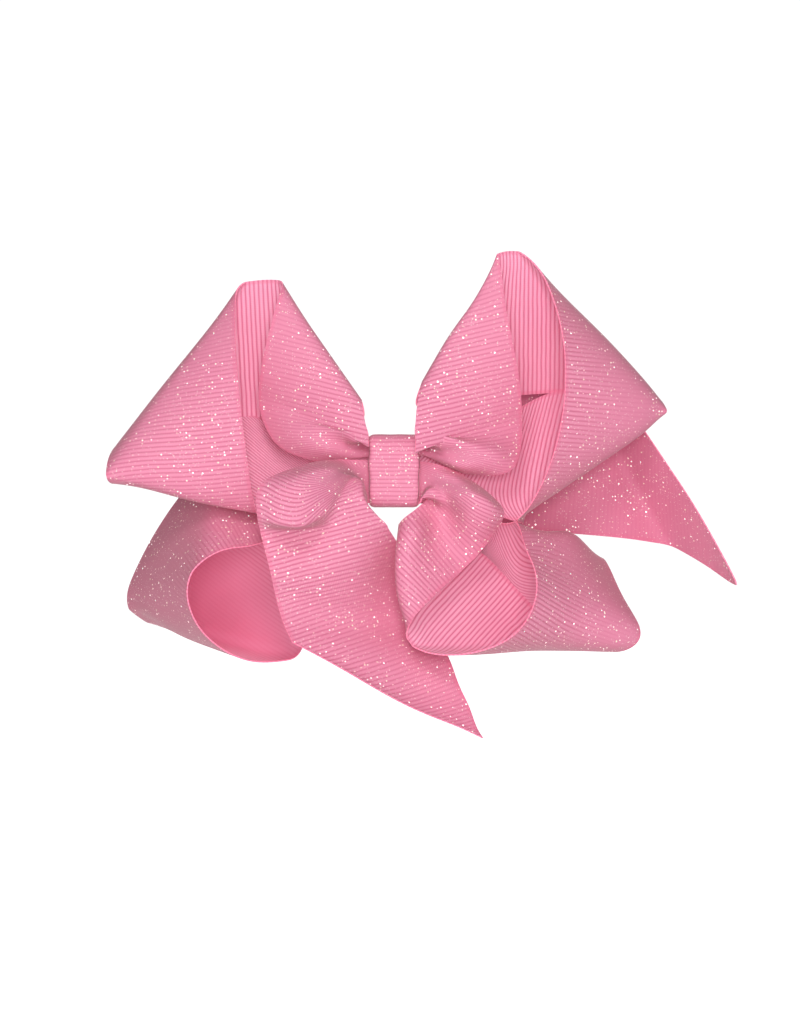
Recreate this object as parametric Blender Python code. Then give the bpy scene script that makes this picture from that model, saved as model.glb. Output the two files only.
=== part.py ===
"""Hair bow of wide grosgrain ribbon on a sprung alligator clip.

World frame, metres, +Z up. The bow faces -Y. The origin is on the clip's flat
face that lies against the hair, straight behind the knot, and +Y points out of that face.
"""
import math

import bmesh
import bpy
import numpy as np
from mathutils import Matrix, Vector

MM = 0.001
NAME = "hair_bow"

# Ribbon
RIBBON_WIDTH = 38.1
RIBBON_THICK = 0.6
SOFTNESS = 3.0
FOLD_STEP = 1.0
COLUMNS = 6
GATHER_ROWS = 24
ROW_TOLERANCE = 0.25

# Middle of the bow
BAND_WIDTH = 12.7
BAND_HALF_HEIGHT = 9.2
BAND_FRONT = -9.4
BAND_BACK = 9.7
BAND_THICK = 0.7
BAND_CORNER = 3.0
CORNER_STEPS = 5
TONGUE_END = 1.0
THREAD_RADIUS = 0.2
THREAD_TURNS = 3
THREAD_STEPS = 24
THREAD_SPAN = 7.0
THREAD_MIDDLE = -1.6
THREAD_HALF_DEPTH = 5.95
THREAD_HALF_HEIGHT = 7.95
GLUE_SIZE = (9.0, 0.5, 6.0)
GLUE_Y = 5.1

# Clip
STEEL = 0.8
FACE_Y = 13.5
CLIP_TIP_X = -30.0
PIVOT_X = 9.5
PIVOT_Y = 10.2
TAIL_END_X = 17.5
UPPER_FLAT_Y = 6.2
UPPER_TIP_Y = 12.0
UPPER_BEND_X = 6.6
ARM_HALF_WIDTH = 4.2
TIP_HALF_WIDTH = 3.0
EAR_HALF_LENGTH = 2.2
EAR_OUTER = 4.2
EAR_INNER = 3.1
CHEEK_GAP = 0.3
NECK_X = 5.0
TAIL_BEND_X = 12.0
TAIL_RISE = 1.6
PIN_RADIUS = 0.6
PIN_HEAD_RADIUS = 1.1
PIN_HALF_LENGTH = 4.9
PIN_HEAD_THICK = 0.4
PIN_HOLE_RADIUS = 0.7
SPRING_RADIUS = 1.5
WIRE_RADIUS = 0.25
SPRING_TURNS = 3
SPRING_HALF_LENGTH = 1.4
SPRING_LEG = 5.2
LEG_SLANT = 12.0

# Colour, metallic, roughness
PINK = ((0.86, 0.28, 0.40), 0.0, 0.6)
THREAD_PINK = ((0.80, 0.30, 0.40), 0.0, 0.8)
CLEAR_GLUE = ((0.85, 0.83, 0.78), 0.0, 0.3)
BRIGHT_STEEL = ((0.75, 0.75, 0.77), 1.0, 0.25)
SPRING_STEEL = ((0.55, 0.55, 0.58), 1.0, 0.3)

# Each ribbon is a folded flat strip. "tip" is a point on its front edge, "along" and "across" are
# the strip's directions there. Each fold line gives where it meets the front edge and the back
# edge (mm along the strip from the tip), the turning done so far in degrees, and optionally the
# share of the width still outside the gathers.
RIBBONS = {
    "loop_upper_left": {
        "tip": (-35.5, 5.7, 50.3),
        "along": (-0.994, 0.103, -0.043),
        "across": (0.052, 0.087, -0.995),
        "mirrored": False,
        "pulls": [((-35, 6, 50), (0, 0, 1.6), 11), ((-70, -8, -5), (0, 0, 1.7), 14),
                  ((-68, -3, 22), (-0.6, 0, 0.4), 20)],
        "folds": [(-38, -46, -211, 0.92), (-20, -44.5, -183, 0.9), (-12, -44, -170, 0.85),
                  (-8, -39.5, -105, 0.75), (-5, -36.5, -56, 0.82), (-4.8, -31.5, -49, 0.96),
                  (-4.5, -22, -35), (0, 0, 0), (3.5, 24, 8), (5, 38.5, 63), (12, 58.5, 139),
                  (63.5, 59, 195), (74, 59.5, 237)],
        "start": {
            "slot": (-6.6, -4.6, 3.2, 7.6),
            "sections": [
                [(-31, -3, 7), (-26, -7, 10), (-17.5, -10, 10.8), (-11.5, -12.5, 10),
                 (-7.3, -11.5, 8.4)],
                [(-22, -5, 3.2), (-18.5, -9, 6.2), (-14, -8.5, 7.6), (-10.5, -11.5, 8),
                 (-7.1, -9, 8.1)],
            ],
        },
        "end": {
            "slot": (-6.6, -2.2, -7, 6),
            "sections": [
                [(-36, -2.5, -11.5), (-38, 0, -6), (-40, 3.5, 1), (-42, 7, 9), (-44, 10, 16)],
                [(-20, -0.8, -9.5), (-20, -0.3, -5.5), (-20, 0.5, -1), (-20, 1, 4), (-20, 2, 9)],
            ],
        },
    },
    "loop_upper_right": {
        "tip": (30.3, -0.8, 56.9),
        "along": (0.977, 0.202, 0.072),
        "across": (0.009, 0.298, -0.954),
        "mirrored": True,
        "pulls": [((29, 2, 57), (0, 0, 2.6), 11), ((25, -2, 54), (1.8, 0, 0), 8),
                  ((20, -4, 45), (1.3, 0, 0), 8), ((75, 9, 16), (-1.3, 0, 0.6), 7),
                  ((60, 4, 36), (0.5, 0, 0.5), 18)],
        "folds": [(-48, -51, -205, 0.87), (-20, -49.5, -170, 0.85), (-5.5, -48.5, -152, 0.8),
                  (-5, -44, -105, 0.72), (-4.5, -40, -64, 0.7), (-4.3, -32, -50, 0.95),
                  (-4, -16, -21), (0, 0, 0), (2.5, 28, 2), (3, 40, 53), (15, 49, 114),
                  (78, 49.5, 194), (85, 50, 217)],
        "start": {
            "slot": (6.6, -4.6, 3.6, 7.6),
            "sections": [
                [(31, -6, 0), (27, -10, 4), (20, -12, 7), (13, -12.5, 9.2), (7.2, -11.5, 8.4)],
                [(21, -7, -0.6), (18, -11, 2), (14, -9.5, 5), (10.5, -11.5, 7), (7.1, -9, 8.1)],
            ],
        },
        "end": {
            "slot": (6.6, -2.2, -7, 6),
            "sections": [
                [(35, 2, -14), (37, 5, -5), (40, 8, 4), (43, 11, 13), (46, 13, 22)],
                [(21, -1, -10), (21, -0.5, -5), (22, 0.5, 0), (23, 2, 6), (24, 3, 12)],
            ],
        },
    },
    "loop_lower_left": {
        "tip": (-42.5, 7.1, -50.4),
        "along": (-0.64, -0.714, 0.282),
        "across": (-0.684, 0.698, 0.214),
        "mirrored": True,
        "pulls": [((-68, 26, -41), (0.3, 0, 1.3), 9), ((-28.5, 20, -50.5), (2.5, 0, 0), 7)],
        "folds": [(-40, -22, -117), (-19.5, -2.5, -116), (-19, -0.5, -33), (0, 0, 0), (13.5, 8, 16),
                  (26.5, 8.5, 45), (34.5, 16, 85), (37.5, 58.5, 110), (50, 62, 167)],
        "start": {
            "slot": (-6.6, 0.4, -7.2, 4),
            "sections": [
                [(-11, 1.5, -16), (-14, 2, -12.5), (-17, 2.5, -9), (-20, 3, -5.5), (-22, 3.5, -2)],
            ],
        },
        "end": {
            "slot": (-6.6, 2.8, -7.2, 6),
            "sections": [
                [(-22, 4, -14), (-23, 4.5, -9), (-24, 5.5, -4), (-25, 6.5, 1), (-26, 7.5, 6)],
            ],
        },
    },
    "loop_lower_right": {
        "tip": (2.1, -9.8, -46),
        "along": (0.663, 0.137, -0.736),
        "across": (0.618, 0.456, 0.641),
        "mirrored": False,
        "width": 36.3,
        "pulls": [((56, 8, -46), (8, 0, -2), 11), ((50, 14, -24), (-1, 0, 2), 9),
                  ((35, -3, -20), (0, 0, 4), 9), ((45, 5, -22), (0, 0, 6), 9),
                  ((62, 10, -33), (-1, 0, 0), 10), ((67, 6, -47), (2.6, 0, 0), 6),
                  ((56, 5, -51), (0, 0, 2), 13), ((32, 2, -50), (0, 0, 1), 10),
                  ((50, 11, -21), (0, 0, 2.6), 7), ((2, -8, -25), (-1.3, -4, 0), 11),
                  ((2.5, -10, -44), (2.2, 0, 0.5), 7), ((38, -1, -19), (0, 0, 1.6), 8),
                  ((12.8, -10, -13), (0, 5, 0), 4.2), ((12.5, -10, -19), (0, 3, 0), 4.5),
                  ((7, -9, -16), (0, -3.6, 0), 5), ((21, -10, -14), (0, -2, 0), 8)],
        "folds": [(-27, -42, -185, 0.57), (-12, -41, -178, 0.57), (-1, -38.5, -72, 0.58),
                  (-0.5, -35.5, -15, 0.65), (0, 0, 0), (1.5, 30.5, 3), (2, 37.5, 57), (30, 43, 106),
                  (48, 54, 181), (58.5, 73, 221)],
        "start": {
            "slot": (6.6, -6.2, 2, -7.4),
            "sections": [
                [(29.5, -8, -12), (25.5, -13, -8.5), (21, -15, -6.5), (17.5, -12.5, -7),
                 (14.5, -9, -8), (12, -9.5, -7.6), (9.2, -8, -7.3)],
                [(17.5, -8, -0.8), (15.5, -10.5, -1.6), (13.6, -10, -2.6), (12.2, -8.8, -3.4),
                 (11, -8.4, -4.2), (9.6, -9.8, -5.4), (8, -8.6, -7.2)],
            ],
        },
        "end": {
            "slot": (6.6, 0.4, -1, -7.2),
            "sections": [
                [(30, 3, -16.5), (32, 7, -22), (33, 10.5, -28), (34, 13.5, -34), (35, 16, -40)],
                [(17, 1, -7.5), (18, 1.8, -10.5), (19, 2.8, -13.5), (20, 4, -17), (21, 5.5, -20)],
            ],
        },
    },
    "tail_front_left": {
        "tip": (-33.1, -17.5, -25.6),
        "along": (0.236, 0.127, -0.963),
        "across": (0.959, 0.127, 0.251),
        "mirrored": False,
        "pulls": [((-24, -18, -16), (0, 3.5, 0), 7), ((5, -9, -31), (1.5, 12, 0), 13),
                  ((3, -9, -20), (-1.5, 4, 0), 9), ((13, -2, -50), (2.4, 0, 0), 10),
                  ((19, -5, -63), (1.6, 0, 0.2), 7), ((3, -11, -62), (-0.6, 0, -1.4), 18)],
        "folds": [(-9, -1, -9, 0.89), (0, 0, 0, 0.91), (4, 10, -24), (5, 30, -33), (20.5, 31, 35),
                  (21.5, 50.5, 20), (22.5, 65, 56)],
        "start": {
            "slot": (-6.6, -6.2, 2.4, -7.2),
            "sections": [
                [(-36, -22, -12), (-30, -25, -14), (-24, -25, -14.5), (-18.5, -21.5, -11.5),
                 (-14, -15.5, -8), (-9, -14, -8.8), (-4, -13.5, -12.3)],
                [(-36, -22, -5.5), (-29, -24.5, -6), (-22.5, -23.5, -6.5), (-16.5, -18.5, -6),
                 (-12.3, -13, -4.5), (-8.8, -14, -5.5), (-7.1, -11.5, -8.6)],
                [(-25, -16.5, 1), (-19.5, -19, 0), (-15.5, -17, -1), (-12.3, -13.5, -1.5),
                 (-10.2, -10, -1.8), (-8.3, -11.5, -3.2), (-7.1, -10, -7.2)],
            ],
        },
    },
    "tail_rear_right": {
        "tip": (48.9, 21, -17),
        "along": (0.997, 0.006, -0.079),
        "across": (0.079, 0.043, 0.996),
        "mirrored": False,
        "pulls": [((91, 12, -27), (2, 0, -3.5), 9), ((78, 14, -4), (-1.1, 0, 0), 18),
                  ((82, 20, -22), (0, 0, -1.4), 10)],
        "trim": (54, 14),
        "folds": [(-20, -20, -22), (0, 0, 0), (24, 1, -28), (29.5, 2.5, 39), (32, 33.5, 51),
                  (60.5, 46, 79)],
        "start": {
            "slot": (6.6, 2.8, -7.2, 7.2),
            "sections": [
                [(18, 4, -13), (18, 4.2, -5), (18, 4.4, 2), (18, 4.6, 9), (18, 4.8, 15)],
            ],
        },
    },
}


def unit(v):
    return v / np.linalg.norm(v)


def turned(v, axis, angle):
    """Vector v turned about an axis through the origin."""
    a = unit(axis)
    return v * math.cos(angle) + np.cross(a, v) * math.sin(angle) + a * (a @ v) * (1 - math.cos(angle))


def softened(values, reach):
    """Moving average that carries straight on past both ends."""
    window = np.ones(2 * reach + 1) / (2 * reach + 1)
    before = 2 * values[0] - values[reach:0:-1]
    after = 2 * values[-1] - values[-2:-reach - 2:-1]
    return np.convolve(np.concatenate([before, values, after]), window, "valid")


def fine_folds(folds):
    """Fold lines every FOLD_STEP along the strip, with the creases rounded off."""
    table = np.array([tuple(f) + (1.0,) * (4 - len(f)) for f in folds], float)
    span = np.max(np.abs(np.diff(table[:, :2], axis=0)), axis=1)
    run = np.concatenate([[0], np.cumsum(np.maximum(span, 0.5))])
    at = np.linspace(0, run[-1], int(run[-1] / FOLD_STEP) + 1)
    reach = max(1, int(round(SOFTNESS / FOLD_STEP)))
    return [softened(np.interp(at, run, table[:, c]), reach) for c in range(4)]


def trimmed_folds(spec):
    """Fold lines of one strip, cut short where the strip is snipped off at a slant."""
    front, back, turn, reach = fine_folds(spec["folds"])
    if "trim" in spec:
        far, near = spec["trim"]
        reach = np.minimum(reach, (far - front) / (far - near + back - front))
        kept = reach > 0.03
        front, back, turn, reach = front[kept], back[kept], turn[kept], reach[kept]
    return front, back, np.radians(turn) * (-1 if spec["mirrored"] else 1), reach


def folded(spec):
    """Fold the flat strip about its fold lines: one row of points per fold line."""
    front, back, turn, reach = trimmed_folds(spec)
    width = spec.get("width", RIBBON_WIDTH)
    share = np.linspace(0, 1, COLUMNS)
    rows = np.zeros((len(front), COLUMNS, 3))
    ways = np.zeros((len(front), 3))
    first = int(np.argmin(np.abs(front + back)))
    for direction in (1, -1):
        origin = np.array(spec["tip"], float)
        along = unit(np.array(spec["along"], float))
        side = np.array(spec["across"], float)
        side = unit(side - along * (side @ along))
        i = first
        while True:
            s = front[i] + (back[i] - front[i]) * share * reach[i]
            rows[i] = origin + s[:, None] * along + (share * reach[i] * width)[:, None] * side
            ways[i] = along
            j = i + direction
            if not 0 <= j < len(front):
                break
            a = origin + front[j] * along
            axis = origin + back[j] * along + width * side - a
            next_along = turned(along, axis, turn[i] - turn[j])
            side = turned(side, axis, turn[i] - turn[j])
            origin = a - front[j] * next_along
            along = next_along
            i = j
    return rows, ways


def eased(u, a, b, slope_a, slope_b):
    """Smooth curve from a to b that leaves and arrives with the given slopes."""
    rise = 3 * u**2 - 2 * u**3
    return (1 - rise) * a + (u**3 - 2 * u**2 + u) * slope_a + rise * b + (u**3 - u**2) * slope_b


def spread(points):
    """Smooth curve through a few points, resampled to COLUMNS points."""
    points = np.array(points, float)
    at = np.linspace(0, len(points) - 1, COLUMNS)
    i = np.clip(at.astype(int), 0, len(points) - 2)
    slope = np.gradient(points, axis=0)
    return eased((at - i)[:, None], points[i], points[i + 1], slope[i], slope[i + 1])


def tongue_rows(slot):
    """Where the gathered end enters the knot, and where it stops inside."""
    x, y, z_front, z_back = slot
    z = np.linspace(z_front, z_back, COLUMNS)
    mouth = np.stack([np.full(COLUMNS, x), np.full(COLUMNS, y), z], 1)
    inner = mouth.copy()
    inner[:, 0] = math.copysign(TONGUE_END, x)
    return mouth, inner


def section_slopes(sections, gaps, way, side):
    slope = np.zeros_like(sections)
    for k in range(1, len(sections) - 1):
        g0 = gaps[k - 1][:, None] + 1e-6
        g1 = gaps[k][:, None] + 1e-6
        before = (sections[k] - sections[k - 1]) / g0
        after = (sections[k + 1] - sections[k]) / g1
        slope[k] = (before * g1 + after * g0) / (g0 + g1)
    slope[0] = way
    slope[-2:] = (-side, 0, 0)
    return slope


def gathered(edge, way, gather):
    """Rows from a strip's last fold line through the gathers into the knot."""
    mouth, inner = tongue_rows(gather["slot"])
    sections = np.array([edge] + [spread(m) for m in gather["sections"]] + [mouth, inner])
    gaps = np.linalg.norm(np.diff(sections, axis=0), axis=2)
    slope = section_slopes(sections, gaps, way, math.copysign(1, gather["slot"][0]))
    share = gaps.mean(axis=1) / gaps.mean(axis=1).sum()
    rows = []
    for k in range(len(sections) - 1):
        count = max(2, int(round(GATHER_ROWS * share[k])))
        u = np.linspace(0, 1, count + 1)[1:, None, None]
        g = gaps[k][None, :, None]
        rows.append(eased(u, sections[k], sections[k + 1], slope[k] * g, slope[k + 1] * g))
    return np.concatenate(rows)


def pulled(rows, pulls):
    """Soft proportional pulls: each moves what lies near its centre."""
    total = np.zeros_like(rows)
    for centre, shift, radius in pulls:
        distance = np.linalg.norm(rows - np.array(centre, float), axis=-1, keepdims=True)
        total += np.exp(-((distance / radius) ** 2)) * np.array(shift, float)
    return rows + total


def ribbon_rows(spec):
    """Whole strip: folded part with its gathered ends."""
    rows, ways = folded(spec)
    if "start" in spec:
        more = gathered(rows[0], -ways[0], spec["start"])
        rows = np.concatenate([more[::-1], rows])
    if "end" in spec:
        rows = np.concatenate([rows, gathered(rows[-1], ways[-1], spec["end"])])
    return pulled(rows, spec.get("pulls", []))


def off_chord(rows, i, j):
    """Largest distance of the rows between i and j from a straight run i to j."""
    chord = rows[j] - rows[i]
    length = np.sum(chord * chord, axis=1) + 1e-9
    between = rows[i + 1:j] - rows[i]
    t = np.clip(np.sum(between * chord, axis=2) / length, 0, 1)
    return np.linalg.norm(between - t[..., None] * chord, axis=2).max()


def thinned(rows):
    """Fewest rows that keep every column within ROW_TOLERANCE."""
    kept = [0]
    while kept[-1] < len(rows) - 1:
        j = kept[-1] + 1
        while j + 1 < len(rows) and off_chord(rows, kept[-1], j + 1) < ROW_TOLERANCE:
            j += 1
        kept.append(j)
    return kept


def place(point):
    """Millimetres from the knot's middle to metres in the world frame."""
    x, y, z = point
    return Vector((x * MM, (y - FACE_Y) * MM, z * MM))


def loft(sections):
    """Closed solid skinned over matching closed sections."""
    bm = bmesh.new()
    rings = [[bm.verts.new(p) for p in section] for section in sections]
    count = len(rings[0])
    for a, b in zip(rings, rings[1:]):
        for i in range(count):
            j = (i + 1) % count
            bm.faces.new((a[i], a[j], b[j], b[i]))
    for ring in (rings[0], rings[-1]):
        for i in range(count // 2 - 1):
            bm.faces.new((ring[i], ring[i + 1], ring[count - 2 - i], ring[count - 1 - i]))
    return bm


def ribbon_solid(spec):
    rows = ribbon_rows(spec)
    normal = np.cross(np.gradient(rows, axis=0), np.gradient(rows, axis=1))
    normal /= np.linalg.norm(normal, axis=2, keepdims=True) + 1e-12
    sections = []
    for i in thinned(rows):
        face = rows[i] + normal[i] * RIBBON_THICK / 2
        reverse = rows[i] - normal[i] * RIBBON_THICK / 2
        sections.append([place(p) for p in list(face) + list(reverse[::-1])])
    return loft(sections)


def sweep(path, radius, sides):
    """Round wire along a path of points."""
    path = np.array(path, float)
    tangents = np.gradient(path, axis=0)
    across = unit(np.cross(tangents[0], (0.31, 0.43, 0.84)))
    sections = []
    for point, tangent in zip(path, tangents):
        t = unit(tangent)
        across = unit(across - t * (across @ t))
        up = np.cross(t, across)
        angles = [2 * math.pi * k / sides for k in range(sides)]
        sections.append([place(point + radius * (math.cos(a) * across + math.sin(a) * up))
                         for a in angles])
    return loft(sections)


def rounded_rectangle(y0, y1, half_height, corner):
    """Closed loop of (y, z) points with rounded corners."""
    centres = [(y1 - corner, half_height - corner), (y0 + corner, half_height - corner),
               (y0 + corner, corner - half_height), (y1 - corner, corner - half_height)]
    loop = []
    for quarter, (y, z) in enumerate(centres):
        for k in range(CORNER_STEPS + 1):
            a = math.pi / 2 * (quarter + k / CORNER_STEPS)
            loop.append((y + corner * math.cos(a), z + corner * math.sin(a)))
    return loop


def knot_solid():
    """Band of folded ribbon wrapped round the middle: a rounded ring of even thickness."""
    bm = bmesh.new()
    x = -BAND_WIDTH / 2
    t = BAND_THICK
    outer = rounded_rectangle(BAND_FRONT, BAND_BACK, BAND_HALF_HEIGHT, BAND_CORNER)
    inner = rounded_rectangle(BAND_FRONT + t, BAND_BACK - t, BAND_HALF_HEIGHT - t, BAND_CORNER - t)
    edges = []
    for loop in (outer, inner):
        verts = [bm.verts.new(place((x, y, z))) for y, z in loop]
        edges += [bm.edges.new((a, b)) for a, b in zip(verts, verts[1:] + verts[:1])]
    side = bmesh.ops.bridge_loops(bm, edges=edges)["faces"]
    grown = bmesh.ops.extrude_face_region(bm, geom=side, use_keep_orig=True)["geom"]
    verts = [g for g in grown if isinstance(g, bmesh.types.BMVert)]
    bmesh.ops.translate(bm, vec=(BAND_WIDTH * MM, 0, 0), verts=verts)
    return bm


def thread_solid():
    """Sewing thread wound tightly round the gathered ribbon ends."""
    steps = THREAD_TURNS * THREAD_STEPS
    path = []
    for k in range(steps + 1):
        a = 2 * math.pi * k / THREAD_STEPS
        c, s = math.cos(a), math.sin(a)
        x = THREAD_SPAN * (k / steps - 0.5)
        y = THREAD_MIDDLE + THREAD_HALF_DEPTH * math.copysign(abs(c) ** 0.2, c)
        z = THREAD_HALF_HEIGHT * math.copysign(abs(s) ** 0.2, s)
        path.append((x, y, z))
    return sweep(path, THREAD_RADIUS, 6)


def glue_solid():
    bm = bmesh.new()
    size = Matrix.Diagonal([v * MM for v in GLUE_SIZE] + [1])
    bmesh.ops.create_cube(bm, size=1, matrix=Matrix.Translation(place((0, GLUE_Y, 0))) @ size)
    return bm


def plate(stations):
    """Strip of steel bent along x. Each station is x, inner y, half width."""
    sections = []
    for x, y, half in stations:
        corners = [(x, y, -half), (x, y, half), (x, y + STEEL, half), (x, y + STEEL, -half)]
        sections.append([place(c) for c in corners])
    return loft(sections)


def prism(outline, z0, z1):
    """Flat plate cut to an outline of (x, y) points, from z0 to z1."""
    bm = bmesh.new()
    face = bm.faces.new([bm.verts.new(place((x, y, z0))) for x, y in outline])
    grown = bmesh.ops.extrude_face_region(bm, geom=[face], use_keep_orig=True)["geom"]
    verts = [g for g in grown if isinstance(g, bmesh.types.BMVert)]
    bmesh.ops.translate(bm, vec=(0, 0, (z1 - z0) * MM), verts=verts)
    return bm


def arc(cx, cy, radius, start, end, steps):
    """Points on a circle between two angles in degrees."""
    angles = [math.radians(start + (end - start) * k / steps) for k in range(steps + 1)]
    return [(cx + radius * math.cos(a), cy + radius * math.sin(a)) for a in angles]


def scratch(bm):
    bmesh.ops.recalc_face_normals(bm, faces=bm.faces)
    mesh = bpy.data.meshes.new("scratch")
    bm.to_mesh(mesh)
    bm.free()
    obj = bpy.data.objects.new("scratch", mesh)
    bpy.context.scene.collection.objects.link(obj)
    return obj


def combined(bm, others, operation):
    """Boolean of one solid with each of the others in turn."""
    for other in others:
        body = scratch(bm)
        tool = scratch(other)
        modifier = body.modifiers.new("join", "BOOLEAN")
        modifier.operation = operation
        modifier.solver = "EXACT"
        modifier.object = tool
        graph = bpy.context.evaluated_depsgraph_get()
        bm = bmesh.new()
        bm.from_mesh(body.evaluated_get(graph).to_mesh())
        bpy.data.objects.remove(body)
        bpy.data.objects.remove(tool)
    return bm


def pin_hole():
    return prism(arc(PIVOT_X, PIVOT_Y, PIN_HOLE_RADIUS, 0, 360, 24)[:-1], -6, 6)


def upper_ear():
    """Cheek that stands on the fixed arm and carries the pin."""
    x0 = PIVOT_X - EAR_HALF_LENGTH
    x1 = PIVOT_X + EAR_HALF_LENGTH
    foot = UPPER_FLAT_Y
    return [(x0, foot)] + arc(PIVOT_X, PIVOT_Y, EAR_HALF_LENGTH, 180, 0, 12) + [(x1, foot)]


def lower_ear():
    """Cheek that hangs from the moving arm onto the pin."""
    x0 = PIVOT_X - EAR_HALF_LENGTH
    x1 = PIVOT_X + EAR_HALF_LENGTH
    root = FACE_Y - STEEL / 2
    return [(x1, root)] + arc(PIVOT_X, PIVOT_Y, EAR_HALF_LENGTH, 0, -180, 12) + [(x0, root)]


def upper_arm_solid():
    half = ARM_HALF_WIDTH
    flat = UPPER_FLAT_Y - STEEL / 2
    slope = (UPPER_TIP_Y - UPPER_FLAT_Y) / (CLIP_TIP_X - UPPER_BEND_X)
    taper = CLIP_TIP_X * 0.4
    middle = flat + slope * (taper - UPPER_BEND_X)
    tip = UPPER_TIP_Y - STEEL / 2
    body = plate([(TAIL_END_X, flat, half), (UPPER_BEND_X, flat, half), (taper, middle, half),
                  (CLIP_TIP_X, tip, TIP_HALF_WIDTH)])
    thick = EAR_OUTER - (EAR_INNER + CHEEK_GAP)
    ears = [prism(upper_ear(), z, z + thick) for z in (EAR_INNER + CHEEK_GAP, -EAR_OUTER)]
    return combined(combined(body, ears, "UNION"), [pin_hole()], "DIFFERENCE")


def lower_arm_solid():
    half = ARM_HALF_WIDTH
    flat = FACE_Y - STEEL
    neck = EAR_INNER
    body = plate([(TAIL_END_X, flat + TAIL_RISE, neck), (TAIL_BEND_X, flat, neck), (NECK_X, flat, neck),
                  (NECK_X - 2, flat, half), (CLIP_TIP_X * 0.4, flat, half),
                  (CLIP_TIP_X, flat, TIP_HALF_WIDTH)])
    ears = [prism(lower_ear(), z, z + STEEL) for z in (EAR_INNER - STEEL, -EAR_INNER)]
    return combined(combined(body, ears, "UNION"), [pin_hole()], "DIFFERENCE")


def pin_solid():
    """Riveted hinge pin: a shaft with a flat head at each end."""
    head = PIN_HALF_LENGTH - PIN_HEAD_THICK
    half = [(0, PIN_HALF_LENGTH), (PIN_HEAD_RADIUS, PIN_HALF_LENGTH), (PIN_HEAD_RADIUS, head),
            (PIN_RADIUS, head)]
    profile = half + [(r, -z) for r, z in reversed(half)]
    bm = bmesh.new()
    centre = place((PIVOT_X, PIVOT_Y, 0))
    verts = [bm.verts.new(centre + Vector((r, 0, z)) * MM) for r, z in profile]
    edges = [bm.edges.new(pair) for pair in zip(verts, verts[1:])]
    bmesh.ops.spin(bm, geom=verts + edges, cent=centre, axis=(0, 0, 1), angle=2 * math.pi,
                   steps=20, use_duplicate=False)
    bmesh.ops.remove_doubles(bm, verts=bm.verts, dist=1e-6)
    return bm


def spring_path():
    """Leg on the fixed arm, coil round the pin, leg on the moving arm."""
    start = math.radians(-90 - LEG_SLANT)
    end = math.radians(90 + LEG_SLANT + 360 * SPRING_TURNS)
    steps = SPRING_TURNS * 16 + 8
    coil = []
    for k in range(steps + 1):
        a = start + (end - start) * k / steps
        z = SPRING_HALF_LENGTH * (2 * k / steps - 1)
        coil.append((PIVOT_X + SPRING_RADIUS * math.cos(a), PIVOT_Y + SPRING_RADIUS * math.sin(a), z))
    lean = math.radians(LEG_SLANT)
    run, drop = SPRING_LEG * math.cos(lean), SPRING_LEG * math.sin(lean)
    x0, y0, z0 = coil[0]
    x1, y1, z1 = coil[-1]
    first = [(x0 + run * t, y0 - drop * t, z0) for t in (1.0, 0.66, 0.33)]
    last = [(x1 + run * t, y1 + drop * t, z1) for t in (0.33, 0.66, 1.0)]
    return first + coil + last


def material(name, colour, metallic, roughness):
    mat = bpy.data.materials.new(name)
    mat.use_nodes = True
    shader = mat.node_tree.nodes["Principled BSDF"]
    shader.inputs["Base Color"].default_value = (*colour, 1)
    shader.inputs["Metallic"].default_value = metallic
    shader.inputs["Roughness"].default_value = roughness
    mat.diffuse_color = (*colour, 1)
    return mat


def add_piece(name, bm, look, origin=(0, 0, 0)):
    """Put a finished solid into the bow's collection with its origin where asked."""
    bmesh.ops.translate(bm, vec=-Vector(origin), verts=bm.verts)
    bmesh.ops.recalc_face_normals(bm, faces=bm.faces)
    mesh = bpy.data.meshes.new(name)
    bm.to_mesh(mesh)
    bm.free()
    mesh.materials.append(material(name, *look))
    obj = bpy.data.objects.new(name, mesh)
    obj.location = origin
    bpy.data.collections[NAME].objects.link(obj)


def main():
    for obj in list(bpy.data.objects):
        bpy.data.objects.remove(obj)
    bpy.context.scene.collection.children.link(bpy.data.collections.new(NAME))
    for name, spec in RIBBONS.items():
        add_piece(name, ribbon_solid(spec), PINK)
    add_piece("knot_wrap", knot_solid(), PINK)
    add_piece("cinch_thread", thread_solid(), THREAD_PINK)
    add_piece("glue_pad", glue_solid(), CLEAR_GLUE)
    add_piece("clip_upper_arm", upper_arm_solid(), BRIGHT_STEEL)
    axis = place((PIVOT_X, PIVOT_Y, 0))
    add_piece("clip_lower_arm", lower_arm_solid(), BRIGHT_STEEL, axis)
    add_piece("hinge_pin", pin_solid(), BRIGHT_STEEL, axis)
    add_piece("torsion_spring", sweep(spring_path(), WIRE_RADIUS, 8), SPRING_STEEL, axis)


main()
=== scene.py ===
"""Looks of the hair bow: glitter grosgrain ribbon, knot, thread, glue and nickel clip.

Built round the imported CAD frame. Inside the script lengths are in millimetres from the
middle of the knot, and place() turns them into metres in the frame.
"""
import math

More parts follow.
